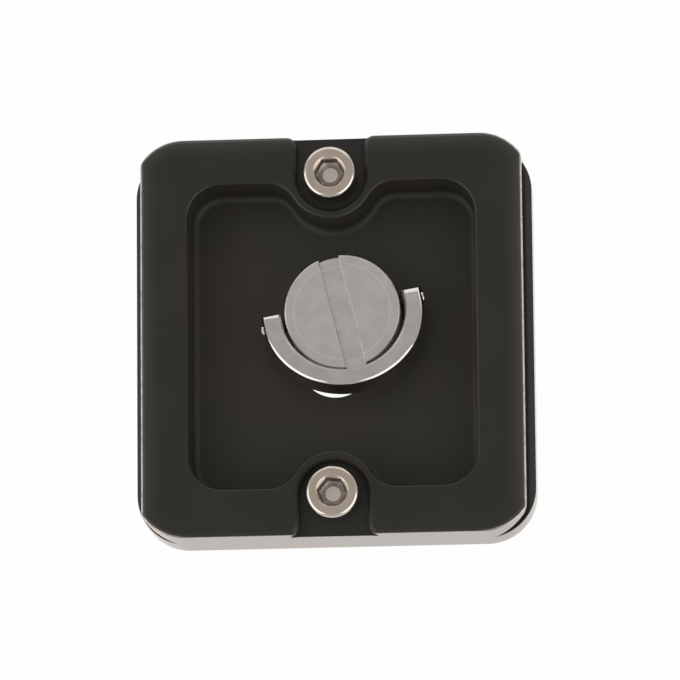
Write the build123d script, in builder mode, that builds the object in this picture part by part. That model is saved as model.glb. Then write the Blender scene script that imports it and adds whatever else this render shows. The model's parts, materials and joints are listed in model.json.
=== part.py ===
"""Tripod quick release plate with stop screws and a captive camera screw that has a folding D-ring.

The plate lies with its pocket up. Z = 0 is the base face, which the pocket opens in, and X = Y = 0 is
its centre. The camera side is at the bottom. Y runs along the dovetail. All sizes are in millimetres.
"""

import os
from math import cos, radians, sin, tan

from build123d import *

# Dovetail on the two long sides, and the flange above the clamp's jaws
dovetail_width = 38.0
dovetail_land = 1.1
dovetail_flank_depth = 3.2
dovetail_angle = 45.0
dovetail_corner_blend = 1.5
base_edge_chamfer = 0.35
plate_length = 40.2
flange_overhang = 0.8
flange_thickness = 3.7
corner_radius = 5.0
camera_edge_chamfer = 0.3

# Pocket in the base face
rim_width = 4.75
web_thickness = 1.2
pocket_corner_radius = 3.3
pocket_floor_radius = 0.75
pocket_edge_break = 0.2

# Stop screws, in U notches with a boss round each
stop_end_distance = 4.0
stop_head_diameter = 5.2
stop_head_height = 3.0
stop_head_chamfer = 0.25
stop_hex_across_flats = 2.5
stop_hex_depth = 1.2
stop_hex_countersink = 0.38
stop_drill_point_depth = 0.45
stop_drill_flat_diameter = 1.5
stop_shank_diameter = 3.0
stop_shank_length = 4.5
stop_front_hex_turn = -8.0
stop_rear_hex_turn = 0.0
stop_thread_clearance = 0.02
stop_hole_runout = 0.7
notch_clearance = 0.8
notch_depth = 1.5
notch_mouth_radius = 1.0
boss_wall = 1.0
boss_blend_radius = 3.0

# Rubber pad on the camera side
pad_margin = 2.5
pad_recess_radius = 3.5
pad_recess_depth = 0.6
pad_thickness = 1.4
pad_side_clearance = 0.1
pad_edge_chamfer = 0.3
pad_groove_pitch = 2.6
pad_groove_width = 1.0
pad_groove_depth = 0.4
pad_border = 2.0

# Camera screw
screw_turn = 11.1
screw_seat_gap = 0.05
head_diameter = 11.5
head_height = 3.8
head_edge_chamfer = 0.12
driver_slot_width = 2.0
driver_slot_depth = 1.2
driver_slot_turn = 92.6
neck_diameter = 4.6
thread_diameter = 6.35
thread_length = 4.6
thread_tip_chamfer = 0.6
thread_start_gap = 0.2

# Slot in the pocket floor. The screw has slid towards one end of it, aside from its middle line
slot_straight = 3.6
slot_thread_clearance = 0.425
screw_wall_gap = 0.11
screw_rest_direction = 37.0

# Folding D-ring and its two pins
ring_head_gap = 0.36
ring_bar_width = 1.93
ring_bar_thickness = 2.55
ring_leg_length = 0.5
ring_end_length = 0.9
ring_edge_break = 0.25
ring_lift = 17.0
pin_diameter = 1.2
pin_depth_below_head = 1.35
pin_seat_length = 1.8
pin_stand_out = 0.3
pin_end_chamfer = 0.15
pin_press_clearance = 0.01
pin_running_clearance = 0.05

# Retaining clip, wider than the slot, in a recess that it slides along
clip_bearing = 0.9
clip_thickness = 0.6
clip_band_width = 1.3
clip_tab_width = 1.6
clip_tab_count = 3
clip_snap = 0.2
clip_groove_depth = 0.4
clip_clearance = 0.05
clip_recess_clearance = 0.3
clip_recess_cover = 0.4

# Outlines that follow from the driving dimensions
plate_width = dovetail_width + 2 * flange_overhang
dovetail_waist = dovetail_width - 2 * dovetail_flank_depth * tan(radians(dovetail_angle))
pocket_width = dovetail_width - 2 * rim_width
pocket_length = plate_length - 2 * rim_width
stop_offset = plate_length / 2 - stop_end_distance
notch_radius = stop_head_diameter / 2 + notch_clearance
boss_radius = notch_radius + boss_wall
slot_width = thread_diameter + 2 * slot_thread_clearance
slot_length = slot_width + slot_straight
screw_play = (slot_width - neck_diameter) / 2 - screw_wall_gap
screw_x = screw_play * cos(radians(screw_rest_direction))
screw_y = slot_straight / 2 + screw_play * sin(radians(screw_rest_direction))
clip_diameter = slot_width + 2 * clip_bearing
clip_groove_diameter = neck_diameter - 2 * clip_groove_depth
clip_mouth_width = clip_groove_diameter - 2 * clip_snap
clip_recess_width = clip_diameter + 2 * (screw_x + clip_recess_clearance)
clip_recess_length = clip_recess_width + 2 * screw_y
pad_recess_width = plate_width - 2 * pad_margin
pad_recess_length = plate_length - 2 * pad_margin
ring_inner_radius = head_diameter / 2 + ring_head_gap
ring_outer_radius = ring_inner_radius + ring_bar_width

# Levels, from the base face down to the camera side
shoulder = -(dovetail_land + dovetail_flank_depth)
camera_face = shoulder - flange_thickness
pad_seat = camera_face + pad_recess_depth
pad_face = pad_seat - pad_thickness
clip_ceiling = pad_seat + clip_recess_cover + clip_thickness
clip_top = clip_ceiling - clip_clearance
pocket_floor = clip_ceiling + web_thickness
stop_seat = -notch_depth
head_seat = pocket_floor + screw_seat_gap
head_face = head_seat + head_height
thread_top = pad_face - thread_start_gap
pin_height = head_face - pin_depth_below_head


def screw_plane(height):
    """The plane across the camera screw's axis at a height, with its X along the ring's pins."""
    pin_direction = (cos(radians(screw_turn)), sin(radians(screw_turn)), 0)
    return Plane((screw_x, screw_y, height), x_dir=pin_direction, z_dir=(0, 0, 1))


def pin_plane(side):
    """The plane across one pin, at the screw's axis and looking outwards."""
    across = screw_plane(pin_height)
    return Plane(across.origin, x_dir=(0, 0, 1), z_dir=across.x_dir * side)


def finish(builder, name):
    """Name a piece and write it to its own file."""
    builder.part.label = name
    export_step(builder.part, f"parts/{name}.step")


os.makedirs("parts", exist_ok=True)

# Plate: the rounded block, cut to the dovetail's profile
with BuildPart() as plate:
    with BuildSketch():
        RectangleRounded(plate_width, plate_length, corner_radius)
    extrude(amount=camera_face)
    with BuildSketch(Plane.XZ):
        with BuildLine():
            Polyline(
                (0, 0),
                (dovetail_width / 2, 0),
                (dovetail_width / 2, -dovetail_land),
                (dovetail_waist / 2, shoulder),
                (plate_width / 2, shoulder),
                (plate_width / 2, camera_face),
                (0, camera_face),
            )
            mirror(about=Plane.YZ)
        make_face()
    extrude(amount=plate_length / 2, both=True, mode=Mode.INTERSECT)
    land_corners = plate.edges().filter_by(Axis.Z).filter_by_position(Axis.Z, -dovetail_land, 0)
    fillet(land_corners, dovetail_corner_blend)

    # U notches for the stop screws, open to the end faces with rounded mouths
    mouth_half_width = notch_radius + notch_mouth_radius
    for side in (1, -1):
        mouth_level = side * (plate_length / 2 - notch_mouth_radius)
        with BuildSketch():
            with Locations((0, side * (plate_length / 2 - notch_mouth_radius / 2))):
                Rectangle(2 * mouth_half_width, notch_mouth_radius)
            with Locations((mouth_half_width, mouth_level), (-mouth_half_width, mouth_level)):
                Circle(notch_mouth_radius, mode=Mode.SUBTRACT)
            with Locations((0, side * (stop_offset + stop_end_distance / 2))):
                Rectangle(2 * notch_radius, stop_end_distance)
            with Locations((0, side * stop_offset)):
                Circle(notch_radius)
        extrude(amount=stop_seat, mode=Mode.SUBTRACT)
    base_face = plate.faces().sort_by(Axis.Z)[-1]
    chamfer(base_face.edges(), base_edge_chamfer)
    flange_face = plate.faces().sort_by(Axis.Z)[0]
    chamfer(flange_face.edges(), camera_edge_chamfer)

    # Pocket, with a boss left standing round each stop screw
    with BuildSketch():
        Rectangle(pocket_width, pocket_length)
        with Locations((0, stop_offset), (0, -stop_offset)):
            Circle(boss_radius, mode=Mode.SUBTRACT)
        boss_points = vertices().filter_by_position(Axis.X, -boss_radius, boss_radius)
        fillet(boss_points, boss_blend_radius)
        columns = vertices().group_by(Axis.X)
        fillet(columns[0] + columns[-1], pocket_corner_radius)
    extrude(amount=pocket_floor, mode=Mode.SUBTRACT)
    floor_face = faces(Select.LAST).sort_by(Axis.Z)[0]
    fillet(floor_face.edges(), pocket_floor_radius)
    rim_face = plate.faces().filter_by(Plane.XY).sort_by(Axis.Z)[-1]
    chamfer(rim_face.inner_wires()[0].edges(), pocket_edge_break)

    # A tapped hole under each stop screw
    with Locations((0, stop_offset, stop_seat), (0, -stop_offset, stop_seat)):
        Hole(
            stop_shank_diameter / 2 + stop_thread_clearance,
            depth=stop_shank_length + stop_hole_runout,
        )

    # Slot for the screw, the clip's recess and the pad's recess
    with BuildSketch(Plane.XY.offset(pocket_floor)):
        SlotOverall(slot_length, slot_width, rotation=90)
    extrude(amount=camera_face - pocket_floor, mode=Mode.SUBTRACT)
    with BuildSketch(Plane.XY.offset(clip_ceiling)):
        SlotOverall(clip_recess_length, clip_recess_width, rotation=90)
    extrude(amount=camera_face - clip_ceiling, mode=Mode.SUBTRACT)
    with BuildSketch(Plane.XY.offset(pad_seat)):
        RectangleRounded(pad_recess_width, pad_recess_length, pad_recess_radius)
    extrude(amount=camera_face - pad_seat, mode=Mode.SUBTRACT)
finish(plate, "plate")

# Rubber pad: moulded grooves that stop short of its edges and of its opening
with BuildPart() as rubber_pad:
    with BuildSketch(Plane.XY.offset(pad_seat)):
        RectangleRounded(
            pad_recess_width - 2 * pad_side_clearance,
            pad_recess_length - 2 * pad_side_clearance,
            pad_recess_radius - pad_side_clearance,
        )
        SlotOverall(clip_recess_length, clip_recess_width, rotation=90, mode=Mode.SUBTRACT)
    extrude(amount=-pad_thickness)
    grip_face = rubber_pad.faces().sort_by(Axis.Z)[0]
    chamfer(grip_face.outer_wire().edges(), pad_edge_chamfer)
    groove_length = pad_recess_length - 2 * pad_border
    groove_count = int((pad_recess_width - 2 * pad_border - pad_groove_width) / pad_groove_pitch) + 1
    with BuildSketch(Plane.XY.offset(pad_face)):
        with GridLocations(pad_groove_pitch, 0, groove_count, 1):
            Rectangle(pad_groove_width, groove_length)
        SlotOverall(
            clip_recess_length + 2 * pad_border,
            clip_recess_width + 2 * pad_border,
            rotation=90,
            mode=Mode.SUBTRACT,
        )
    extrude(amount=pad_groove_depth, mode=Mode.SUBTRACT)
finish(rubber_pad, "rubber_pad")

# Stop screws: hexagon socket over a drilled point
for name, side, hex_turn in (
    ("stop_screw_front", -1, stop_front_hex_turn),
    ("stop_screw_rear", 1, stop_rear_hex_turn),
):
    seat_plane = Plane((0, side * stop_offset, stop_seat))
    with BuildPart() as stop_screw:
        with BuildSketch(seat_plane):
            Circle(stop_head_diameter / 2)
        extrude(amount=stop_head_height)
        chamfer(stop_screw.faces().sort_by(Axis.Z)[-1].edges(), stop_head_chamfer)
        with BuildSketch(seat_plane):
            Circle(stop_shank_diameter / 2)
        extrude(amount=-stop_shank_length)
        with BuildSketch(seat_plane.offset(stop_head_height)):
            RegularPolygon(stop_hex_across_flats / 2, 6, major_radius=False, rotation=hex_turn)
        extrude(amount=-stop_hex_depth, mode=Mode.SUBTRACT)
        with BuildSketch(seat_plane.offset(stop_head_height)):
            Circle(stop_hex_across_flats / 2 + stop_hex_countersink)
        with BuildSketch(seat_plane.offset(stop_head_height - 2 * stop_hex_countersink)):
            Circle(stop_hex_across_flats / 2 - stop_hex_countersink)
        loft(mode=Mode.SUBTRACT)
        with BuildSketch(seat_plane.offset(stop_head_height - stop_hex_depth)):
            Circle(stop_hex_across_flats / 2)
        with BuildSketch(seat_plane.offset(stop_head_height - stop_hex_depth - stop_drill_point_depth)):
            Circle(stop_drill_flat_diameter / 2)
        loft(mode=Mode.SUBTRACT)
    finish(stop_screw, name)

# Camera screw: slotted head, neck with the clip's groove, and thread
with BuildPart() as camera_screw:
    with BuildSketch(screw_plane(head_seat)):
        Circle(head_diameter / 2)
    extrude(amount=head_height)
    chamfer(camera_screw.edges().filter_by(GeomType.CIRCLE), head_edge_chamfer)
    with BuildSketch(screw_plane(head_seat)):
        Circle(neck_diameter / 2)
    extrude(amount=thread_top - head_seat)
    with BuildSketch(screw_plane(thread_top)):
        Circle(thread_diameter / 2)
    extrude(amount=-thread_length)
    chamfer(camera_screw.faces().sort_by(Axis.Z)[0].edges(), thread_tip_chamfer)
    with BuildSketch(screw_plane(clip_top + clip_clearance)):
        Circle(neck_diameter / 2)
        Circle(clip_groove_diameter / 2, mode=Mode.SUBTRACT)
    extrude(amount=-(clip_thickness + 2 * clip_clearance), mode=Mode.SUBTRACT)
    with BuildSketch(screw_plane(head_face)):
        Rectangle(2 * head_diameter, driver_slot_width, rotation=driver_slot_turn)
    extrude(amount=-driver_slot_depth, mode=Mode.SUBTRACT)
    for side in (1, -1):
        with BuildSketch(pin_plane(side).offset(head_diameter / 2 - pin_seat_length)):
            Circle(pin_diameter / 2 + pin_press_clearance)
        extrude(amount=head_diameter / 2, mode=Mode.SUBTRACT)
finish(camera_screw, "camera_screw")

# D-ring: half a turn of square bar with two short straight legs, lifted a little from the pocket floor
with BuildPart() as d_ring:
    with BuildSketch(screw_plane(pin_height).rotated((-ring_lift, 0, 0))):
        with BuildLine():
            CenterArc((0, -ring_leg_length), ring_outer_radius, 180, 180)
            CenterArc((0, -ring_leg_length), ring_inner_radius, 180, 180)
            for side in (1, -1):
                Polyline(
                    (side * ring_inner_radius, -ring_leg_length),
                    (side * ring_inner_radius, ring_end_length),
                    (side * ring_outer_radius, ring_end_length),
                    (side * ring_outer_radius, -ring_leg_length),
                )
        make_face()
    extrude(amount=ring_bar_thickness / 2, both=True)
    ring_faces = d_ring.faces().filter_by(screw_plane(pin_height).rotated((-ring_lift, 0, 0)))
    chamfer(ring_faces.edges(), ring_edge_break)
    for side in (1, -1):
        with BuildSketch(pin_plane(side)):
            Circle(pin_diameter / 2 + pin_running_clearance)
        extrude(amount=ring_outer_radius + pin_stand_out, mode=Mode.SUBTRACT)
finish(d_ring, "d_ring")

# Pins: pressed into the head, with the ring running on them
for name, side in (("ring_pin_left", -1), ("ring_pin_right", 1)):
    pin_start = head_diameter / 2 - pin_seat_length
    with BuildPart() as ring_pin:
        with BuildSketch(pin_plane(side).offset(pin_start)):
            Circle(pin_diameter / 2)
        extrude(amount=ring_outer_radius + pin_stand_out - pin_start)
        outer_end = ring_pin.faces().sort_by(Axis.X)[-1 if side > 0 else 0]
        chamfer(outer_end.edges(), pin_end_chamfer)
    finish(ring_pin, name)

# Retaining clip: an open band with three tabs that reach into the groove
with BuildPart() as retaining_clip:
    with BuildSketch(screw_plane(clip_top)):
        Circle(clip_diameter / 2)
        Circle(clip_diameter / 2 - clip_band_width, mode=Mode.SUBTRACT)
        with PolarLocations(0, clip_tab_count, start_angle=-90):
            tab_reach = (clip_diameter - clip_band_width) / 2
            Rectangle(tab_reach, clip_tab_width, align=(Align.MIN, Align.CENTER))
        Circle(clip_groove_diameter / 2 + clip_clearance, mode=Mode.SUBTRACT)
        with Locations((0, clip_diameter / 2)):
            Rectangle(clip_mouth_width, clip_diameter / 2, mode=Mode.SUBTRACT)
    extrude(amount=-clip_thickness)
finish(retaining_clip, "retaining_clip")
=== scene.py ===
# %% [markdown]
# # A tripod quick release plate
#
# This lesson dresses a small machined assembly: a black anodised plate with a dovetail, two stainless stop
# screws, and a camera screw with a folding D-ring. The solids come from CAD at their real size. Blender adds
# what the solids leave out: smooth shading with softened edges, a cut thread, a sawn slot, finishes, a studio
# and a camera.

# %% Load the frame
import json
import math

import bmesh
import bpy
from mathutils import Matrix, Vector


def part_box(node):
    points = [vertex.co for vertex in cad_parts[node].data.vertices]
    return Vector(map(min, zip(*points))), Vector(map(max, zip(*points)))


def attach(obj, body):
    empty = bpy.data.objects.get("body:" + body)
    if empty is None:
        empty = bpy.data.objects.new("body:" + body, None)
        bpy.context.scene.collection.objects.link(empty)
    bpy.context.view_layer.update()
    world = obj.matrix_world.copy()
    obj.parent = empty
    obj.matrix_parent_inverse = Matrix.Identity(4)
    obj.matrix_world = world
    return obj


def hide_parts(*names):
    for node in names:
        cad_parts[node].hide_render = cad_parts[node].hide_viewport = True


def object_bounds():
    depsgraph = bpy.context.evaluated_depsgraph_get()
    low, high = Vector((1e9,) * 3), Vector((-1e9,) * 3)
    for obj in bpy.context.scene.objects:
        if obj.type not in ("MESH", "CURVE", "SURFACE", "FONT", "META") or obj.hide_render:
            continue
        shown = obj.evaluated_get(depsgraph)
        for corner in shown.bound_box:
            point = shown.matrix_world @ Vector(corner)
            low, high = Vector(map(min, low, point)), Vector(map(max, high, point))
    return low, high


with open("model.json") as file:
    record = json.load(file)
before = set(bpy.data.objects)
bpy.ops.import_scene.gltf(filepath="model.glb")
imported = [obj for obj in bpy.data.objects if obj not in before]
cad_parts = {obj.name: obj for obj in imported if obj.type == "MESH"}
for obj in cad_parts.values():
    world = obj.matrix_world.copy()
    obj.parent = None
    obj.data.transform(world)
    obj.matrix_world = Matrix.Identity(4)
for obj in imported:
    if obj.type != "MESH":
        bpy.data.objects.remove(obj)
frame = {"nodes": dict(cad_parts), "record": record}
cad_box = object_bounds()
MM = 0.001
print("CAD box in mm:", [[round(v / MM, 2) for v in corner] for corner in cad_box])

# %% [markdown]
# ## Shader sums in Python
#
# A finish is easier to read as a sum than as a web of nodes. `Value` wraps one socket, and its operators add
# Math nodes. `Nodes` makes every other node through one method, and `Finish` adds a material with its main
# shader.


# %% Sums of sockets
class Value:
    """One output socket, which can stand in Python sums."""

    def __init__(self, nodes, socket):
        self.nodes = nodes
        self.socket = socket

    def math(self, operation, first, second):
        return self.nodes.node("ShaderNodeMath", {"operation": operation}, {0: first, 1: second})

    def __add__(self, other):
        return self.math("ADD", self, other)

    def __radd__(self, other):
        return self.math("ADD", other, self)

    def __sub__(self, other):
        return self.math("SUBTRACT", self, other)

    def __rsub__(self, other):
        return self.math("SUBTRACT", other, self)

    def __mul__(self, other):
        return self.math("MULTIPLY", self, other)

    def __rmul__(self, other):
        return self.math("MULTIPLY", other, self)

    def __truediv__(self, other):
        return self.math("DIVIDE", self, other)

    def __rtruediv__(self, other):
        return self.math("DIVIDE", other, self)

    def __pow__(self, other):
        return self.math("POWER", self, other)

    def __abs__(self):
        return self.math("ABSOLUTE", self, 0.0)

    def most(self, other):
        return self.math("MAXIMUM", self, other)

    def rise(self, low, high):
        """0 below low, 1 above high, and a smooth ramp between them."""
        settings = {"interpolation_type": "SMOOTHSTEP", "clamp": True}
        return self.nodes.node("ShaderNodeMapRange", settings, {0: self, 1: low, 2: high, 3: 0.0, 4: 1.0})


class Nodes:
    """A node tree whose new nodes all come from one method."""

    def __init__(self, tree):
        self.tree = tree

    def node(self, kind, settings=None, inputs=None, output=0):
        made = self.tree.nodes.new(kind)
        for name, setting in (settings or {}).items():
            setattr(made, name, setting)
        for key, value in (inputs or {}).items():
            self.join(made.inputs[key], value)
        return Value(self, made.outputs[output])

    def join(self, socket, value):
        if isinstance(value, Value):
            self.tree.links.new(value.socket, socket)
        elif socket.type == "RGBA":
            socket.default_value = (*value, 1.0)
        else:
            socket.default_value = value


class Finish(Nodes):
    """A material with a Principled shader, built from its constant values first."""

    def __init__(self, name, **constants):
        self.material = bpy.data.materials.new(name)
        self.material.use_nodes = True
        super().__init__(self.material.node_tree)
        self.shader = self.tree.nodes["Principled BSDF"]
        for socket_name, constant in constants.items():
            self.feed(socket_name.replace("_", " "), constant)
        print("finish", name)

    def feed(self, socket_name, value):
        self.join(self.shader.inputs[socket_name], value)

    def millimetres(self, centre=(0.0, 0.0, 0.0)):
        """Object coordinates in millimetres, counted from a centre that is given in metres."""
        place = self.node("ShaderNodeTexCoord", output="Object")
        settings = {"vector_type": "POINT"}
        shift = [-c / MM for c in centre]
        inputs = {"Vector": place, "Location": shift, "Scale": (1 / MM,) * 3}
        return self.node("ShaderNodeMapping", settings, inputs)

    def noise(self, place, scale, detail=2.0, roughness=0.5):
        inputs = {"Vector": place, "Scale": scale, "Detail": detail, "Roughness": roughness}
        return self.node("ShaderNodeTexNoise", {}, inputs)

    def blend(self, factor, first, second):
        """Two colours mixed by a factor."""
        return self.node("ShaderNodeMix", {"data_type": "RGBA"}, {0: factor, 6: first, 7: second}, 2)

    def bump(self, height, depth_mm, strength):
        inputs = {"Height": height, "Strength": strength, "Distance": depth_mm * MM}
        self.feed("Normal", self.node("ShaderNodeBump", {}, inputs))


# %% [markdown]
# ## Dressing the machined pieces
#
# A CAD mesh arrives as loose triangles. A copy is merged, its flat areas are joined again, and nearly every
# sharp edge gets a small bevel, because no real edge is perfectly sharp and the thin highlights along edges are
# what makes metal look like metal. Weighted normals keep the large faces flat.


# %% Dressed copies
SHARP = math.radians(28)
SHADED_SHARP = SHARP * 1.4
FLAT = math.radians(0.4)
MERGE = 0.0001 * MM
WELD = MERGE * 10


def cad_copy(node):
    """A merged bmesh of a CAD node, with its coplanar triangles joined."""
    mesh = bmesh.new()
    mesh.from_mesh(frame["nodes"][node].data)
    bmesh.ops.remove_doubles(mesh, verts=mesh.verts, dist=MERGE)
    bmesh.ops.dissolve_limit(mesh, angle_limit=FLAT, verts=mesh.verts, edges=mesh.edges)
    return mesh


def middle_of(edge):
    return (edge.verts[0].co + edge.verts[1].co) / 2


def break_edges(mesh, size, segments=2, chosen=None):
    """Rounds the sharp edges of a mesh, or those of a chosen list. An edge needs room for the size."""
    edges = mesh.edges if chosen is None else chosen
    bmesh.ops.bevel(
        mesh,
        geom=[edge for edge in edges if edge.is_manifold and edge.calc_face_angle() > SHARP],
        offset=size,
        affect="EDGES",
        segments=segments,
        profile=0.5,
        material=-1,
        clamp_overlap=False,
    )
    bmesh.ops.remove_doubles(mesh, verts=mesh.verts, dist=WELD)


def make_piece(mesh, name, body, material, slot, *nodes):
    """A finished object from a bmesh: smooth, with sharp edges marked, riding on its body."""
    for face in mesh.faces:
        face.smooth = True
    for edge in mesh.edges:
        edge.smooth = edge.is_manifold and edge.calc_face_angle() < SHADED_SHARP
    data = bpy.data.meshes.new(name)
    mesh.to_mesh(data)
    mesh.free()
    piece = bpy.data.objects.new(name, data)
    bpy.context.collection.objects.link(piece)
    data.materials.append(material)
    normals = piece.modifiers.new("weighted_normals", "WEIGHTED_NORMAL")
    normals.keep_sharp = True
    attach(piece, body)
    if nodes:
        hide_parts(*nodes)
    print(name, len(data.polygons), "faces")


print("edges over", round(math.degrees(SHARP)), "degrees count as sharp")

# %% [markdown]
# ## Black anodised aluminium
#
# The plate is milled, and its faces are blasted before it is anodised, so they are matt with a fine even grain.
# The ends and the dovetail are cut afterwards and stay smooth: their hard oxide skin is a clear coat, which
# turns pale where it is seen edge-on. The clamp's jaws rub the skin off the two long edges of the base, so bare
# metal shows there in a thin line, whose pale colour is also a painted highlight for the light on the edge's
# bevel. Beside the left, right and rear edges the black is lightened a little as a painted sheen, for light
# that the rounded edges catch; the front edge has none. The pocket is left as the cutter made it, rougher
# than the rim, and its black is painted paler and a shade browner to lift the shade that its walls cast, with
# faint bronze clouds where the dye took less well. Most of this hangs on one number, the distance to the
# outline of the base: a rounded rectangle, cut off at the dovetail's width.


# %% Anodised finish
BASE_HALF_WIDTH = 19.0
CORNER_RADIUS = 5.0
RIM_WIDTH = 4.75
RIM_BLUR = 0.5
# The bare-metal line along the long edges is worn anodising, and it is also a painted highlight for light on the
# edge's bevel.
GLINT_RUB_WIDTH = 0.15
GLINT_RUB_BLUR = 0.04
GLINT_RUBBED_SIDES = (14.0, 18.5)
# Painted sheen: the black is lightened near the base's outline, but not along the front end, for light that the
# rounded edges catch.
EDGE_SHEEN_WIDTH = 2.2
EDGE_SHEEN_LENGTH = (-20.0, -16.0)
CUT_SIDES = (-0.08, -0.02)
BASE_LEVEL = (-0.6, -0.4)
POCKET_LEVEL = (-0.5, -0.2)
DUST_SIZE = (0.015, 0.035)
RIM_BLACK = ((0.0078, 0.0062, 0.0032), (0.0110, 0.0090, 0.0053))
# The pocket's black is painted paler than the rim's, as painted light that lifts the shade of the pocket walls.
POCKET_PAINTED_PALE = ((0.0180, 0.0160, 0.0102), (0.0232, 0.0172, 0.0100))
DUST_GREY = (0.09, 0.085, 0.08)
# The lighter black of the painted sheen beside the edges.
PAINTED_SHEEN_BLACK = (0.044, 0.040, 0.034)
BARE_METAL_GLINT = (0.68, 0.64, 0.60)
plate_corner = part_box("plate")[1] / MM


def base_outline(x, y):
    """Millimetres to the outline of the base, below 0 inside it."""
    past_x = (abs(x) - (plate_corner.x - CORNER_RADIUS)).most(0.0)
    past_y = (abs(y) - (plate_corner.y - CORNER_RADIUS)).most(0.0)
    corner_reach = (past_x**2 + past_y**2) ** 0.5 - CORNER_RADIUS
    return corner_reach.most(abs(x) - BASE_HALF_WIDTH)


def anodised_black():
    finish = Finish("anodised_black", Specular_IOR_Level=0.46, Coat_Roughness=0.1)
    place = finish.millimetres()
    x, y, z = (finish.node("ShaderNodeSeparateXYZ", {}, {"Vector": place}, axis) for axis in "XYZ")
    outline = base_outline(x, y)
    on_base = z.rise(*BASE_LEVEL)
    cloud = finish.noise(place, 0.11, detail=3.0)
    grain = finish.noise(place, 9.0, detail=2.0, roughness=0.6)
    dust_cells = {"Vector": place, "Scale": 0.32, "Randomness": 1.0}
    dust_reach = finish.node("ShaderNodeTexVoronoi", {"feature": "F1"}, dust_cells, "Distance")
    dust = (1.0 - dust_reach.rise(*DUST_SIZE)) * finish.noise(place, 0.9).rise(0.55, 0.65)

    # Painted highlight, partly wear: a pale bare-metal line along the long edges of the base.
    glint_wear = 0.6 + finish.noise(place, 1.5, detail=3.0).rise(0.3, 0.6) * 0.4
    by_edge = outline.rise(-GLINT_RUB_WIDTH - GLINT_RUB_BLUR, -GLINT_RUB_WIDTH + GLINT_RUB_BLUR)
    rubbed_glint = by_edge * on_base * abs(x).rise(*GLINT_RUBBED_SIDES) * glint_wear
    # Painted sheen beside the edges of the base, left out at the front end.
    painted_sheen = (1.0 + outline / EDGE_SHEEN_WIDTH).most(0.0) ** 2 * on_base * y.rise(*EDGE_SHEEN_LENGTH)
    smooth_cut = outline.rise(*CUT_SIDES) * (1.0 - rubbed_glint)
    pocket = (1.0 - z.rise(*POCKET_LEVEL)) * (1.0 - outline.rise(-RIM_WIDTH, RIM_BLUR - RIM_WIDTH))

    tint = finish.blend(cloud.rise(0.3, 0.7), *RIM_BLACK)
    bronze = finish.noise(place, 0.07, detail=2.0).rise(0.42, 0.62)
    # Painted light: the pocket is painted paler than the rim to lift its shade; the bronze clouds are random
    # tone.
    pocket_pale_tint = finish.blend(bronze, *POCKET_PAINTED_PALE)
    milled = finish.blend(pocket, tint, pocket_pale_tint)
    dusty = finish.blend(dust * 0.6, milled, DUST_GREY)
    sheened_black = finish.blend(painted_sheen, dusty, PAINTED_SHEEN_BLACK)
    finish.feed("Base Color", finish.blend(rubbed_glint, sheened_black, BARE_METAL_GLINT))
    finish.feed("Metallic", rubbed_glint)
    finish.feed("Roughness", 0.38 + grain * 0.08 + pocket * 0.17 - smooth_cut * 0.08)
    finish.feed("Coat Weight", smooth_cut)
    finish.bump(grain, 0.004, strength=0.5)
    return finish.material


print("plate corner at", [round(v, 2) for v in plate_corner], "mm")

# %% [markdown]
# ## The plate
#
# It keeps its CAD shape and only needs its edges softened, most of all round the pocket, where fingers reach in
# for the ring.

# %% Plate
POCKET_REACH = Vector((18.0, 19.5)) * MM
POCKET_ROUNDING = 0.12 * MM
PLATE_ROUNDING = 0.06 * MM

plate_mesh = cad_copy("plate")
pocket_edges = []
for edge in plate_mesh.edges:
    middle = middle_of(edge)
    if abs(middle.z) < WELD and abs(middle.x) < POCKET_REACH.x and abs(middle.y) < POCKET_REACH.y:
        pocket_edges.append(edge)
print(len(pocket_edges), "edges round the pocket")
break_edges(plate_mesh, POCKET_ROUNDING, segments=4, chosen=pocket_edges)
break_edges(plate_mesh, PLATE_ROUNDING)
make_piece(plate_mesh, "plate_body", "plate", anodised_black(), "anodised_aluminium", "plate")

# %% [markdown]
# ## The rubber pad
#
# The pad is moulded rubber with a fine stipple, and it is glued into a shallow recess on the camera side. It is
# a dielectric with a broad, weak shine, and paler and darker clouds show where it was handled.

# %% Rubber pad
RUBBER_BLACK = ((0.016, 0.016, 0.017), (0.028, 0.027, 0.027))
PAD_ROUNDING = 0.05 * MM


def pad_rubber():
    finish = Finish("pad_rubber", Specular_IOR_Level=0.35)
    place = finish.millimetres()
    stipple = finish.noise(place, 3.5, detail=2.0, roughness=0.7)
    cloud = finish.noise(place, 0.2, detail=4.0)
    finish.feed("Base Color", finish.blend(cloud.rise(0.35, 0.65), *RUBBER_BLACK))
    finish.feed("Roughness", 0.72 + stipple * 0.15)
    finish.bump(stipple, 0.03, strength=0.6)
    return finish.material


pad_mesh = cad_copy("rubber_pad")
break_edges(pad_mesh, PAD_ROUNDING)
make_piece(pad_mesh, "grip_pad", "plate", pad_rubber(), "pad_rubber", "rubber_pad")

# %% [markdown]
# ## Turned steel
#
# Screw heads are faced on a lathe, so their tops carry fine rings about the axis. The rings come from the
# distance to the axis, made a little uneven by noise. Past an edge, such as a chamfer cut by a form tool, the
# steel can have another colour and roughness; on the stop screws the paler colour past the chamfer's edge is a
# painted highlight. A hexagon socket is painted paler inside, partly for the broach's bright finish and partly
# as painted light that lifts the socket's shade, and a line of painted shade runs along its six walls. A plated
# head can also have stray scratches, and a faint circle where the facing tool stopped.


# %% Turned finish
LATHE_PITCH = 0.11
LATHE_DEPTH = 0.004
LATHE_WANDER = 0.4
SCRATCH_TURN = (0, 0, 0.6)
SCRATCH_STRETCH = (9, 0.35, 1)
TOOL_MARK = (0.04, 0.14)
HEX_REACH = 1.25
HEX_SIDES = (30, 90, 150)
# Painted shade: a dark line along the walls of the hexagon socket.
SOCKET_SHADE_LINE = (0.03, 0.09)
SOCKET_SHADE_BLACK = (0.10, 0.09, 0.085)
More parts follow.
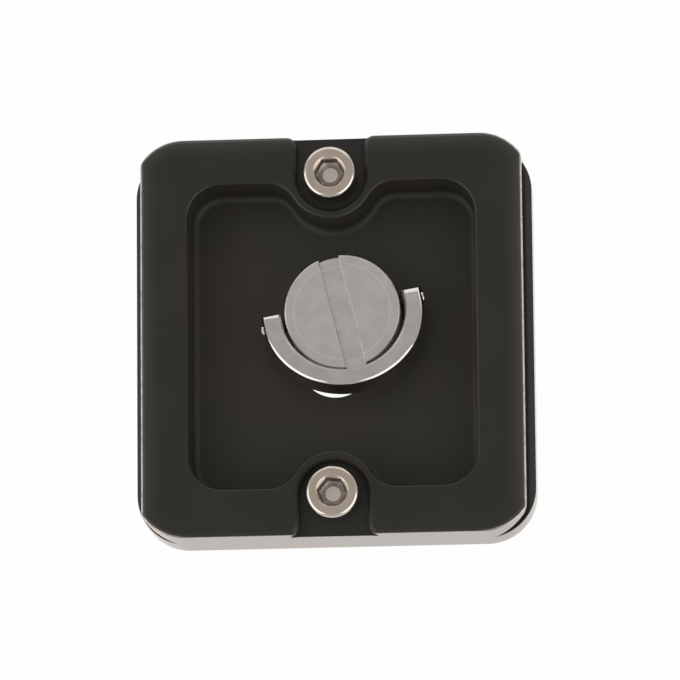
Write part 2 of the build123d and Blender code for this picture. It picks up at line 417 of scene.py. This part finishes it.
# Paler steel inside the socket: the broach's bright finish, and painted light that lifts the socket's shade.
BROACHED_LIT_STEEL = (0.68, 0.62, 0.56)
EDGE_BLUR = 0.1


def axis_distance(finish, place):
    """Millimetres to the upright axis that the place is counted from."""
    inputs = {0: place, 1: (1.0, 1.0, 0.0)}
    flat_place = finish.node("ShaderNodeVectorMath", {"operation": "MULTIPLY"}, inputs)
    return finish.node("ShaderNodeVectorMath", {"operation": "LENGTH"}, {0: flat_place}, "Value")


def hexagon_reach(finish, place, turn):
    """Millimetres from an upright axis to a point, counted square to the nearest side of a hexagon."""
    reach = 0.0
    for side in HEX_SIDES:
        angle = math.radians(side + turn)
        inputs = {0: place, 1: (math.cos(angle), math.sin(angle), 0.0)}
        across = finish.node("ShaderNodeVectorMath", {"operation": "DOT_PRODUCT"}, inputs, "Value")
        reach = abs(across).most(reach)
    return reach


def turned_steel(name, axis_point, colour, roughness, edge, scratches=0.0, circle=0.0, hexagon=None):
    """Lathe-turned steel. An edge has a radius in mm, then the change of roughness and the colour past it."""
    finish = Finish(name, Metallic=1.0)
    place = finish.millimetres(axis_point)
    radius = axis_distance(finish, place)
    wander = finish.noise(place, 0.5) * LATHE_WANDER
    ring_place = finish.node("ShaderNodeCombineXYZ", {}, {"X": radius / LATHE_PITCH + wander})
    rings = finish.noise(ring_place, 1.0, detail=3.0, roughness=0.7)
    cloud = finish.noise(place, 0.6, detail=3.0)
    line_inputs = {"Vector": place, "Rotation": SCRATCH_TURN, "Scale": SCRATCH_STRETCH}
    line_place = finish.node("ShaderNodeMapping", {"vector_type": "POINT"}, line_inputs)
    lines = finish.noise(line_place, 1.0, detail=2.0).rise(0.62, 0.78) * scratches
    tool_mark = 1.0 - abs(radius - circle).rise(*TOOL_MARK)
    dark = tuple(c * 0.9 for c in colour)
    bright = tuple(c * 1.15 for c in colour)
    shade = finish.blend(cloud.rise(0.3, 0.7), dark, colour)
    steel = finish.blend(tool_mark * 0.5, shade, bright)
    if hexagon is not None:
        reach = hexagon_reach(finish, place, hexagon)
        # Painted light, partly the broach's finish: the socket is painted paler than the head.
        broached_lit = finish.blend(reach.rise(HEX_REACH - 0.05, HEX_REACH), BROACHED_LIT_STEEL, steel)
        # Painted shade along the socket's six walls.
        socket_shade = 1.0 - abs(reach - HEX_REACH).rise(*SOCKET_SHADE_LINE)
        steel = finish.blend(socket_shade * 0.85, broached_lit, SOCKET_SHADE_BLACK)
    # On the stop screws the colour past the edge is a painted highlight on the chamfer; on the camera screw it
    # is the plain plating.
    edge_radius, edge_change, edge_colour = edge
    past_edge = radius.rise(edge_radius - EDGE_BLUR, edge_radius)
    finish.feed("Base Color", finish.blend(past_edge, steel, edge_colour))
    finish.feed("Roughness", roughness + rings * 0.10 + lines * 0.2 + past_edge * edge_change)
    finish.bump(rings + lines, LATHE_DEPTH, strength=0.35)
    return finish.material


print("lathe rings every", LATHE_PITCH, "mm")

# %% [markdown]
# ## Stop screws
#
# The two socket screws keep the plate from sliding out of a loose clamp. They are turned from warm stainless
# bar, so the rings on each head run about its own axis, and each screw gets a finish of its own. Both edges of
# the chamfer are tumbled so round that they almost run into each other.

# %% Stop screws
STAINLESS = (0.575, 0.49, 0.41)
STAINLESS_ROUGHNESS = 0.26
# Past the chamfer's edge the steel is painted paler and whiter as a painted highlight; the lower roughness there
# is the chamfer's polish.
CHAMFER_PAINTED_HIGHLIGHT = (2.4, -0.16, (0.65, 0.61, 0.56))
SOCKET_TURNS = {"front": -8.0, "rear": 0.0}
CROWN_RADIUS = 2.2 * MM
CROWN_HEIGHT = 0.4 * MM
CROWN_ROUNDING = 0.15 * MM
SOCKET_ROUNDING = 0.03 * MM

for end, socket_turn in SOCKET_TURNS.items():
    node = f"stop_screw_{end}"
    low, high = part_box(node)
    axis_point = (low + high) / 2
    screw_mesh = cad_copy(node)
    crown_edges = []
    for edge in screw_mesh.edges:
        middle = middle_of(edge) - axis_point
        if middle.xy.length > CROWN_RADIUS and middle.z > high.z - axis_point.z - CROWN_HEIGHT:
            crown_edges.append(edge)
    break_edges(screw_mesh, CROWN_ROUNDING, segments=4, chosen=crown_edges)
    crown_foot = high.z - CROWN_HEIGHT
    rim_edges = [edge for edge in screw_mesh.edges if min(vert.co.z for vert in edge.verts) > crown_foot]
    break_edges(screw_mesh, SOCKET_ROUNDING, chosen=rim_edges)
    finish_name = f"stainless_{end}"
    stainless = turned_steel(
        finish_name, axis_point, STAINLESS, STAINLESS_ROUGHNESS, CHAMFER_PAINTED_HIGHLIGHT, hexagon=socket_turn
    )
    make_piece(screw_mesh, f"stop_screw_{end}_turned", "plate", stainless, "stainless_steel", node)

# %% [markdown]
# ## The camera thread
#
# The CAD screw ends in a plain cylinder. Here a real thread is spun to take its place: one tooth of the profile
# is swept round the axis while it climbs one pitch per turn, as a thread-cutting tool does on a lathe. Both ends
# are cut level and closed, and the tip is chamfered so that it finds its way into the camera.

# %% Thread
THREAD_PITCH = 1.27 * MM
THREAD_DEPTH = 0.72 * MM
THREAD_STEPS = 40
TIP_CHAMFER = 0.6 * MM

camera_thread = next(m for m in frame["record"]["mounts"] if m["name"] == "camera_thread")
thread_radius = camera_thread["dims"]["r_mm"] * MM
screw_axis = Vector(camera_thread["pos_m"])
thread_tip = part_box("camera_screw")[0].z
thread_top = screw_axis.z + camera_thread["dims"]["length_mm"] / 2 * MM


def only(kind, items):
    return [item for item in items if isinstance(item, kind)]


def cut_level(mesh, level, outwards):
    """Takes away what lies past a level, and returns the edges of the cut."""
    cut = bmesh.ops.bisect_plane(
        mesh,
        geom=mesh.verts[:] + mesh.edges[:] + mesh.faces[:],
        plane_co=(0, 0, level),
        plane_no=(0, 0, outwards),
        clear_outer=True,
    )
    return only(bmesh.types.BMEdge, cut["geom_cut"])


def spun_thread(mesh, axis, radius, tip, top):
    """Adds a closed right-handed thread between two levels."""
    root = radius - THREAD_DEPTH
    profile = ((root, 0.0), (root, 0.12), (radius, 0.44), (radius, 0.56), (root, 0.88), (root, 1.0))
    start = tip - 2 * THREAD_PITCH
    points = [(axis.x + r, axis.y, start + share * THREAD_PITCH) for r, share in profile]
    verts = [mesh.verts.new(point) for point in points]
    edges = [mesh.edges.new(pair) for pair in zip(verts, verts[1:])]
    turns = math.ceil((top - tip) / THREAD_PITCH) + 3
    bmesh.ops.spin(
        mesh,
        geom=verts + edges,
        cent=axis,
        axis=(0, 0, 1),
        dvec=(0, 0, THREAD_PITCH / THREAD_STEPS),
        angle=turns * math.tau,
        steps=turns * THREAD_STEPS,
    )
    bmesh.ops.remove_doubles(mesh, verts=mesh.verts, dist=WELD)
    for level, outwards in ((tip, -1), (top, 1)):
        bmesh.ops.edgeloop_fill(mesh, edges=cut_level(mesh, level, outwards))
    for vert in mesh.verts:
        reach = Vector((vert.co.x - axis.x, vert.co.y - axis.y, 0))
        limit = radius - TIP_CHAMFER + (vert.co.z - tip)
        if reach.length > limit:
            vert.co -= reach * (1 - limit / reach.length)
    bmesh.ops.recalc_face_normals(mesh, faces=mesh.faces)


thread_mesh = bmesh.new()
spun_thread(thread_mesh, screw_axis, thread_radius, thread_tip, thread_top)
thread_data = bpy.data.meshes.new("thread_part")
thread_mesh.to_mesh(thread_data)
thread_mesh.free()
print("thread from", round(thread_tip / MM, 2), "to", round(thread_top / MM, 2), "mm")

# %% [markdown]
# ## The camera screw
#
# The plain end is cut off and the neck is closed a little way inside the thread, which then joins it. The driver
# slot is sawn, and the saw leaves a slightly ragged edge: the slot's long edges are divided, and every second
# point is pushed a little aside. The head has a bright plating with stray scratches, and a duller side.

# %% Camera screw
SLOT_EDGE_LEAST = 5.0 * MM
SAW_MARKS = 24
SAW_SWING = 0.008 * MM
SAW_RHYTHM = 2.4
NECK_GAP = 0.02 * MM
NECK_ROOT = 0.4 * MM
SCREW_ROUNDING = 0.08 * MM
PLATING = (0.66, 0.625, 0.605)
PLATING_ROUGHNESS = 0.22
DULL_SIDE = (5.7, 0.35, PLATING)
FACING_STOP = 4.8


def ragged_slot(mesh, head_level):
    """Divides the slot's long edges at a level and shifts every second point."""
    at_level = [e for e in mesh.edges if all(abs(v.co.z - head_level) < WELD for v in e.verts)]
    slot_edges = [edge for edge in at_level if edge.calc_length() > SLOT_EDGE_LEAST]
    for edge in slot_edges:
        start, finish = (vert.co.copy() for vert in edge.verts)
        sideways = (finish - start).cross(Vector((0, 0, 1))).normalized()
        inner = bmesh.ops.subdivide_edges(mesh, edges=[edge], cuts=SAW_MARKS)["geom_inner"]
        points = only(bmesh.types.BMVert, inner)
        points.sort(key=lambda vert: (vert.co - start).length)
        for number, point in enumerate(points):
            swing = math.sin(number * SAW_RHYTHM) + (-1) ** number
            bmesh.ops.translate(mesh, verts=[point], vec=sideways * swing * SAW_SWING)
    print(len(slot_edges), "slot edges with saw marks")


def close_neck(mesh, level):
    """Cuts the screw off at a level and closes its neck a little below."""
    root = bmesh.ops.extrude_edge_only(mesh, edges=cut_level(mesh, level, -1))["geom"]
    root_verts = only(bmesh.types.BMVert, root)
    bmesh.ops.translate(mesh, verts=root_verts, vec=(0, 0, -NECK_ROOT))
    root_edges = only(bmesh.types.BMEdge, root)
    bmesh.ops.edgeloop_fill(mesh, edges=[e for e in root_edges if all(v in root_verts for v in e.verts)])


screw_mesh = cad_copy("camera_screw")
ragged_slot(screw_mesh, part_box("camera_screw")[1].z)
close_neck(screw_mesh, thread_top + NECK_GAP)
break_edges(screw_mesh, SCREW_ROUNDING)
screw_mesh.from_mesh(thread_data)
bpy.data.meshes.remove(thread_data)
plated = turned_steel(
    "plated_steel", screw_axis, PLATING, PLATING_ROUGHNESS, DULL_SIDE, scratches=0.6, circle=FACING_STOP
)
make_piece(screw_mesh, "camera_screw_threaded", "screw", plated, "plated_steel", "camera_screw")

# %% [markdown]
# ## Shaping the ring
#
# The ring is bent from square bar and polished before it is plated. The buff rubs the flat sides down a little
# towards the ends, and there the chrome catches the light from behind. The inside of the bend is ground back a
# little, which clears the screw head and leaves a dark gap between the two.

# %% Ring with buffed ends and a relieved bend
BUFFED_LENGTH = 0.5 * MM
BUFFED_DROP = 0.035 * MM
BUFFED_STEPS = 5
RING_INNER_REACH = 6.6 * MM
RING_LEG_LENGTH = 0.5 * MM
BEND_RELIEF = 0.2 * MM

ring_fold = next(j for j in frame["record"]["behaviour"]["joints"] if j["name"] == "ring_fold")
ring_centre = Vector(ring_fold["pos_m"])
pin_axis = Vector(ring_fold["axis"])


def flat_sides(mesh, normal):
    return [face for face in mesh.faces if abs(face.normal.dot(normal)) > math.cos(FLAT)]


def ring_directions(mesh):
    """The normal of the ring's flat sides, and the direction in which its legs end."""
    top = max(mesh.faces, key=lambda face: face.calc_area())
    normal = top.normal.copy()
    along = normal.cross(pin_axis).normalized()
    if (top.calc_center_median() - ring_centre).dot(along) > 0:
        along.negate()
    return normal, along


def buff_ends(mesh, normal, along):
    """Divides the ring's two flat sides near its ends and lowers them there in a smooth curve."""
    flat_verts = {vert for face in flat_sides(mesh, normal) for vert in face.verts}
    start = max((vert.co - ring_centre).dot(along) for vert in flat_verts) - BUFFED_LENGTH
    for step in range(BUFFED_STEPS):
        cut_point = ring_centre + along * (start + BUFFED_LENGTH * step / BUFFED_STEPS)
        faces = flat_sides(mesh, normal)
        edges = {edge for face in faces for edge in face.edges}
        verts = {vert for face in faces for vert in face.verts}
        bmesh.ops.bisect_plane(mesh, geom=faces + list(edges | verts), plane_co=cut_point, plane_no=along)
    for vert in {vert for face in flat_sides(mesh, normal) for vert in face.verts}:
        past = (vert.co - ring_centre).dot(along) - start
        if past > 0:
            side = math.copysign(1, (vert.co - ring_centre).dot(normal))
            vert.co -= normal * side * BUFFED_DROP * (past / BUFFED_LENGTH) ** 2
    print("ring flat from", round(start / MM, 2), "mm past the pins is buffed")


def relieve_bend(mesh, normal, along):
    """Moves the inside of the bend outwards, most at its middle and not at all at the legs."""
    bend_centre = ring_centre - along * RING_LEG_LENGTH
    for vert in mesh.verts:
        reach = vert.co - bend_centre
        reach -= normal * reach.dot(normal)
        share = -reach.dot(along) / reach.length
        if reach.length < RING_INNER_REACH and share > 0:
            vert.co += reach.normalized() * BEND_RELIEF * share**2


ring_mesh = cad_copy("d_ring")
ring_normal, ring_along = ring_directions(ring_mesh)
buff_ends(ring_mesh, ring_normal, ring_along)
relieve_bend(ring_mesh, ring_normal, ring_along)

# %% [markdown]
# ## Polishing the ring
#
# The buff rounds the outer edges, while the inner edges, which it hardly reaches, stay crisp. On the outer wall
# the large rounding stops short of the pin holes, where it has no room, and the rims of the holes are left
# sharp, because the pins hide them. Chrome is a mirror with a trace of smear and orange peel.

# %% Polished ring
RING_MIDDLE_RADIUS = 7.4 * MM
RING_EDGE_HEIGHT = 0.9 * MM
RING_EDGE_SLOPE = 0.1 * MM
RING_FLAT_HEIGHT = 1.15 * MM
WALL_CLEARANCE = 1.7 * MM
PIN_HOLE_REACH = 0.75 * MM
OUTER_ROUNDING = 0.13 * MM
INNER_ROUNDING = 0.025 * MM
CHROME = ((0.56, 0.525, 0.50), (0.62, 0.585, 0.565))


def polished_chrome():
    finish = Finish("polished_chrome", Metallic=1.0)
    place = finish.millimetres()
    smear = finish.noise(place, 0.45, detail=4.0)
    orange_peel = finish.noise(place, 2.2, detail=1.0)
    finish.feed("Base Color", finish.blend(smear.rise(0.35, 0.7), *CHROME))
    finish.feed("Roughness", 0.05 + smear.rise(0.4, 0.75) * 0.06)
    finish.bump(orange_peel, 0.004, strength=0.4)
    return finish.material


def from_pins(edge):
    """The distance from the pins' axis to the far end of an edge."""
    return max((vert.co - ring_centre).cross(pin_axis).length for vert in edge.verts)


def runs_outside(edge, normal):
    """Whether an edge runs along the outside of the bar, by a flat side or else clear of the pin holes."""
    ends = [vert.co - ring_centre for vert in edge.verts]
    heights = sorted(abs(end.dot(normal)) for end in ends)
    level = heights[0] > RING_EDGE_HEIGHT and heights[1] - heights[0] < RING_EDGE_SLOPE
    outside = all(end.length > RING_MIDDLE_RADIUS for end in ends)
    return level and outside and (heights[0] > RING_FLAT_HEIGHT or from_pins(edge) > WALL_CLEARANCE)


outer_edges = [edge for edge in ring_mesh.edges if runs_outside(edge, ring_normal)]
print(len(outer_edges), "outer edges of the ring get the large rounding")
break_edges(ring_mesh, OUTER_ROUNDING, segments=4, chosen=outer_edges)
other_edges = [edge for edge in ring_mesh.edges if from_pins(edge) > PIN_HOLE_REACH]
break_edges(ring_mesh, INNER_ROUNDING, segments=4, chosen=other_edges)
make_piece(ring_mesh, "d_ring_polished", "ring", polished_chrome(), "polished_chrome", "d_ring")

# %% [markdown]
# ## Pins and clip
#
# The pins that the ring swings on are turned from the screw's own steel. Where they cross the gap between the
# ring and the head they are painted dark, as painted shade for the gap, and they are plain steel at their outer
# ends. The clip that keeps the screw in the plate is stamped from blued spring steel.

# %% Pins and clip
# Painted shade: inside this distance from the screw's axis, in the gap between the ring and the head, the pins
# are painted dark.
GAP_SHADE_REACH = 6.5
GAP_SHADE_BLACK = (0.02, 0.018, 0.016)
PLAIN_PIN_STEEL = (0.66, 0.63, 0.61)
BLUED_STEEL = ((0.09, 0.088, 0.09), (0.15, 0.145, 0.14))
SMALL_ROUNDING = 0.05 * MM


def pin_with_painted_shade(axis_point):
    finish = Finish("pin_steel", Metallic=1.0)
    place = finish.millimetres(axis_point)
    # Painted shade on the pin inside the gap, plain steel past it.
    past_gap = axis_distance(finish, place).rise(GAP_SHADE_REACH - EDGE_BLUR, GAP_SHADE_REACH)
    finish.feed("Base Color", finish.blend(past_gap, GAP_SHADE_BLACK, PLAIN_PIN_STEEL))
    finish.feed("Roughness", 0.45 - past_gap * 0.25)
    finish.bump(finish.noise(place, 4.0), 0.004, strength=0.4)
    return finish.material


def spring_steel():
    finish = Finish("spring_steel", Metallic=1.0)
    place = finish.millimetres()
    cloud = finish.noise(place, 0.8, detail=4.0)
    finish.feed("Base Color", finish.blend(cloud.rise(0.35, 0.65), *BLUED_STEEL))
    finish.feed("Roughness", 0.3 + cloud * 0.2)
    finish.bump(finish.noise(place, 6.0), 0.005, strength=0.4)
    return finish.material


pin_steel = pin_with_painted_shade(screw_axis)
for side in ("left", "right"):
    pin_mesh = cad_copy(f"ring_pin_{side}")
    break_edges(pin_mesh, SMALL_ROUNDING)
    make_piece(pin_mesh, f"ring_pin_{side}_turned", "screw", pin_steel, "plated_steel", f"ring_pin_{side}")

clip_mesh = cad_copy("retaining_clip")
break_edges(clip_mesh, SMALL_ROUNDING)
make_piece(clip_mesh, "retaining_clip_stamped", "clip", spring_steel(), "spring_steel", "retaining_clip")

# %% [markdown]
# ## Studio
#
# The plate lies on a white table in even light. The table looks white to the camera and in reflections, but
# keeps a share of its real shading so that the shadow stays. Most of the light comes from all round. A low
# softbox behind the plate lights the ends of the ring, and one on each side puts bright lines on the bevels. No
# lamp stands in front, so the front of the ring stays dark.

# %% Floor and world
FLOOR_SIZE = 1.6
FLOOR_GLOW = 0.97
FLOOR_WHITE = (0.9, 0.9, 0.9)
WARM_GLOW = (1.0, 0.935, 0.885)
WORLD_COLOUR = (1.0, 0.985, 0.97)
WORLD_LEVEL = 0.56
WHITE = (1.0, 1.0, 1.0)

floor_mesh = bmesh.new()
bmesh.ops.create_grid(floor_mesh, x_segments=1, y_segments=1, size=FLOOR_SIZE / 2)
bmesh.ops.translate(floor_mesh, verts=floor_mesh.verts, vec=(0, 0, cad_box[0].z))
floor_data = bpy.data.meshes.new("white_table")
floor_mesh.to_mesh(floor_data)
floor_mesh.free()
floor = bpy.data.objects.new("white_table", floor_data)
bpy.context.collection.objects.link(floor)

table = Finish("white_table", Base_Color=FLOOR_WHITE, Roughness=0.9, Specular_IOR_Level=0.1)
rays = ("Is Camera Ray", "Is Glossy Ray", "Is Transmission Ray")
camera_ray, glossy_ray, through_ray = (table.node("ShaderNodeLightPath", output=ray) for ray in rays)
seen = camera_ray.most(glossy_ray).most(through_ray)
glow_colour = table.blend(glossy_ray, WHITE, WARM_GLOW)
glow = table.node("ShaderNodeEmission", {}, {"Color": glow_colour, "Strength": 1.0})
plain = Value(table, table.shader.outputs["BSDF"])
surface = table.node("ShaderNodeMixShader", {}, {0: seen * FLOOR_GLOW, 1: plain, 2: glow})
table.join(table.tree.nodes["Material Output"].inputs["Surface"], surface)
floor_data.materials.append(table.material)

studio = bpy.data.worlds.new("studio")
studio.use_nodes = True
bpy.context.scene.world = studio
sky = Nodes(studio.node_tree)
around = sky.node("ShaderNodeBackground", {}, {"Color": WORLD_COLOUR, "Strength": WORLD_LEVEL})
backdrop = sky.node("ShaderNodeBackground", {}, {"Color": WHITE, "Strength": 1.0})
seen_sky = sky.node("ShaderNodeLightPath", output="Is Camera Ray")
both = sky.node("ShaderNodeMixShader", {}, {0: seen_sky, 1: around, 2: backdrop})
sky.join(sky.tree.nodes["World Output"].inputs["Surface"], both)
print("floor at", round(cad_box[0].z / MM, 2), "mm")


# %% Lamps
def softbox(name, place, width, height, radiance):
    """A flat lamp of an even brightness that looks at the plate."""
    lamp = bpy.data.lights.new(name, "AREA")
    lamp.shape = "RECTANGLE"
    lamp.size = width
    lamp.size_y = height
    lamp.energy = radiance * math.pi * width * height
    lamp_object = bpy.data.objects.new(name, lamp)
    lamp_object.location = place
    lamp_object.rotation_euler = (-Vector(place)).to_track_quat("-Z", "Y").to_euler()
    bpy.context.collection.objects.link(lamp_object)
    print(name, round(lamp.energy, 2), "W")


softbox("rear_box", place=(-0.06, 0.66, 0.28), width=1.20, height=0.45, radiance=0.75)
softbox("left_box", place=(-0.60, -0.22, 0.38), width=1.00, height=0.60, radiance=1.3)
softbox("right_box", place=(0.56, -0.34, 0.38), width=0.90, height=0.60, radiance=1.2)

# %% [markdown]
# ## Camera
#
# The photograph looks almost straight down, from a little to the front and right, through a long lens. The
# camera is set from the plate: where the base face's centre falls in the picture, how many pixels a millimetre
# takes there, and how far sideways a millimetre of depth moves a point.

# %% Camera at the photograph's angle
PICTURE = 680
BASE_CENTRE_PIXEL = (331.6, 333.5)
PIXELS_PER_MM = 10.12
DEPTH_SHIFT_RIGHT = 0.746
DEPTH_SHIFT_DOWN = 2.097
CAMERA_DISTANCE = 0.65
CAMERA_ROLL = math.radians(-0.55)
SENSOR = 36.0
NEAR_CLIP = 0.01

towards_camera = Vector((DEPTH_SHIFT_RIGHT, -DEPTH_SHIFT_DOWN, 0)) / PIXELS_PER_MM
towards_camera.z = math.sqrt(1 - towards_camera.length_squared)
right = Vector((0, 1, 0)).cross(towards_camera).normalized()
right = Matrix.Rotation(CAMERA_ROLL, 3, towards_camera) @ right
up = towards_camera.cross(right)
aim = (PICTURE / 2 - BASE_CENTRE_PIXEL[0]) * right - (PICTURE / 2 - BASE_CENTRE_PIXEL[1]) * up
eye = aim / PIXELS_PER_MM * MM + towards_camera * CAMERA_DISTANCE

camera_data = bpy.data.cameras.new("camera")
camera_data.sensor_width = SENSOR
camera_data.lens = PIXELS_PER_MM / MM * CAMERA_DISTANCE / PICTURE * SENSOR
camera_data.clip_start = NEAR_CLIP
camera = bpy.data.objects.new("camera", camera_data)
turn = Matrix((right, up, towards_camera)).transposed().to_4x4()
camera.matrix_world = Matrix.Translation(eye) @ turn
bpy.context.collection.objects.link(camera)
bpy.context.scene.camera = camera
bpy.context.scene.view_settings.view_transform = "Standard"
print("lens", round(camera_data.lens, 1), "mm")
